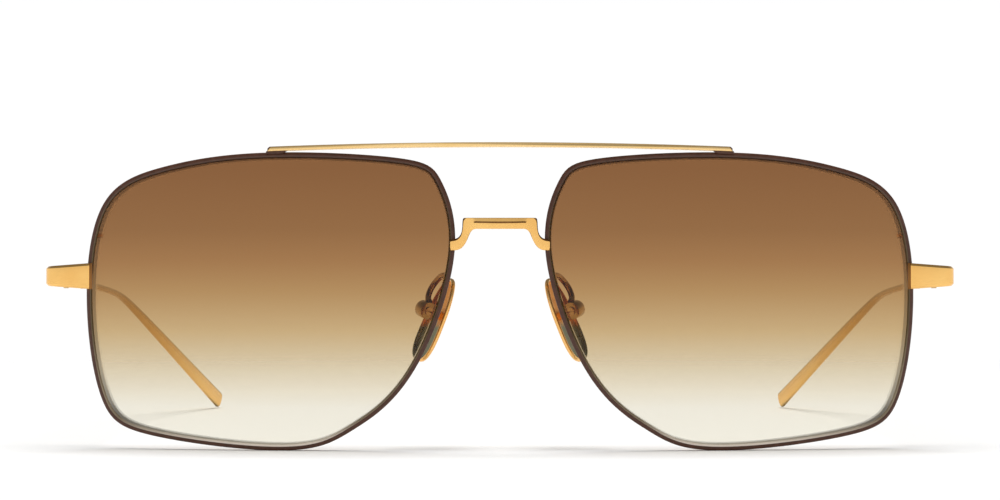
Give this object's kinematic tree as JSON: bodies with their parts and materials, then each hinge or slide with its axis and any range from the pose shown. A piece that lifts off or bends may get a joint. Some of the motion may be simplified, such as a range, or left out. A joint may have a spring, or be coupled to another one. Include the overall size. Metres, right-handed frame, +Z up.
{
  "type": "sunglasses",
  "caption": "Metal aviator sunglasses with thin enamelled rims, a double bridge, rocking nose pads and folding temples.",
  "frame": {"origin": "on the ground, midway across the width and midway along the depth, with the temples open", "axes": "+Z up; the front faces -Y; the temples run towards +Y; +X is to the right as seen from the front"},
  "size_m": [0.1536, 0.138, 0.0503],
  "materials": {
    "gold_metal": "polished",
    "hinge_metal": "satin",
    "enamel": "gloss",
    "screw_metal": "satin",
    "lens_tint": "clear gradient tint"
  },
  "bodies": {
    "front": {"rim_left": "enamel", "rim_right": "enamel", "lens_left": "lens_tint", "lens_right": "lens_tint", "bridge": "gold_metal", "top_bar": "gold_metal", "bar_pad_left": "enamel", "bar_pad_right": "enamel", "end_piece_left": "gold_metal", "end_piece_right": "gold_metal", "closing_block_upper_left": "hinge_metal", "closing_block_upper_right": "hinge_metal", "closing_block_lower_left": "hinge_metal", "closing_block_lower_right": "hinge_metal", "closing_screw_left": "screw_metal", "closing_screw_right": "screw_metal", "hinge_knuckles_left": "hinge_metal", "hinge_knuckles_right": "hinge_metal", "hinge_screw_left": "screw_metal", "hinge_screw_right": "screw_metal", "pad_arm_left": "gold_metal", "pad_arm_right": "gold_metal", "pad_box_left": "gold_metal", "pad_box_right": "gold_metal", "pad_screw_left": "screw_metal", "pad_screw_right": "screw_metal"},
    "temple_left_arm": {"temple_left": "gold_metal", "temple_knuckle_left": "hinge_metal"},
    "temple_right_arm": {"temple_right": "gold_metal", "temple_knuckle_right": "hinge_metal"},
    "nose_pad_left_body": {"nose_pad_left": "gold_metal"},
    "nose_pad_right_body": {"nose_pad_right": "gold_metal"}
  },
  "joints": [
    {"name": "temple_left_fold", "type": "hinge", "parent": "front", "child": "temple_left_arm", "pos_m": [-0.07315, -0.0544, 0.0285], "axis": [0, 0, -1], "range_deg": [0, 88]},
    {"name": "temple_right_fold", "type": "hinge", "parent": "front", "child": "temple_right_arm", "pos_m": [0.07315, -0.0544, 0.0285], "axis": [0, 0, 1], "range_deg": [0, 85]},
    {"name": "nose_pad_left_rock", "type": "hinge", "parent": "front", "child": "nose_pad_left_body", "pos_m": [-0.01223, -0.06177, 0.0229], "axis": [-0.4179, 0.891, 0.1774], "range_deg": [-10, 10]},
    {"name": "nose_pad_right_rock", "type": "hinge", "parent": "front", "child": "nose_pad_right_body", "pos_m": [0.01223, -0.06177, 0.0229], "axis": [0.4179, 0.891, 0.1774], "range_deg": [-10, 10]}
  ]
}
